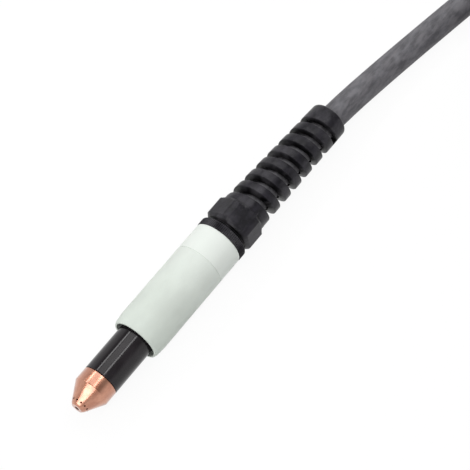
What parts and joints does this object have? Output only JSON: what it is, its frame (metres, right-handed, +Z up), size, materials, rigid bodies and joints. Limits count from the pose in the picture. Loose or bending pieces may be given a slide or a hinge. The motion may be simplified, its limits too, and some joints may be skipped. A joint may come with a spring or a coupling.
{
  "type": "machine plasma torch",
  "caption": "Machine plasma torch: copper shield, black retaining cap, pale sleeve, cable gland with spiral bend relief, and a lead folded in a hank, ending in a round connector.",
  "frame": {"origin": "on the surface that the torch lies on, below the middle of the torch's own length, its lead and connector left out", "axes": "+X along the torch from the nose to the lead, +Z up from the surface"},
  "size_m": [0.6611, 0.2077, 0.0793],
  "materials": {
    "copper": "machined copper, satin",
    "cap_shell": "glossy black moulding",
    "brass": "turned brass",
    "swirl": "fired ceramic look",
    "emitter": "bare emitter metal",
    "seal": "black nitrile",
    "head": "black moulded insulator",
    "sleeve": "pale grey green, smooth satin",
    "gland": "black nylon",
    "hose": "black hose",
    "wire": "red wire insulation",
    "lead": "dusty grey jacket",
    "boot": "black rubber",
    "plug": "black plastic",
    "strap": "black woven strap",
    "plug_face": "grey insulator"
  },
  "bodies": {
    "torch": {"electrode": "copper", "emitter": "emitter", "torch_head": "head", "head_seal": "seal", "pilot_ring": "brass", "cathode_block": "brass", "feed_fitting": "brass", "feed_hose": "hose", "hose_ferrule": "brass", "pilot_wire": "wire", "mounting_sleeve": "sleeve", "rear_sleeve": "sleeve", "gland_body": "gland", "gland_claw": "gland", "gland_seal": "seal", "gland_nut": "gland", "torch_lead": "lead", "lead_coil": "lead", "lead_tail": "lead", "plug_boot": "boot", "plug_body": "plug", "plug_face": "plug_face", "power_pin": "brass", "signal_pins": "brass", "hank_strap": "strap", "boot_strap": "strap"},
    "nozzle_set": {"nozzle": "copper", "swirl_ring": "swirl"},
    "cap": {"retaining_cap": "cap_shell", "cap_insert": "brass"},
    "shield_slider": {"shield_seal": "seal"},
    "shield_body": {"shield": "copper"},
    "coupling_nut": {"plug_nut": "plug"}
  },
  "joints": [
    {"name": "cap_slide", "type": "slide", "parent": "torch", "child": "nozzle_set", "axis": [-1, 0, 0], "range_m": [0, 0.009]},
    {"name": "cap_turn", "type": "hinge", "parent": "nozzle_set", "child": "cap", "pos_m": [-0.08975, 0, 0.01806], "axis": [-1, 0, 0], "range_deg": [0, 1620]},
    {"name": "shield_slide", "type": "slide", "parent": "cap", "child": "shield_slider", "axis": [-1, 0, 0], "range_m": [0, 0.006]},
    {"name": "shield_turn", "type": "hinge", "parent": "shield_slider", "child": "shield_body", "pos_m": [-0.12075, 0, 0.01806], "axis": [-1, 0, 0], "range_deg": [0, 1440]},
    {"name": "coupling_turn", "type": "hinge", "parent": "torch", "child": "coupling_nut", "pos_m": [0.42525, -0.038, 0.0578], "axis": [1, 0, 0], "continuous": true}
  ],
  "couplings": [
    {"joint": "cap_slide", "follows": "cap_turn", "m_per_rad": 0.00031831},
    {"joint": "shield_slide", "follows": "shield_turn", "m_per_rad": 0.00023873}
  ]
}
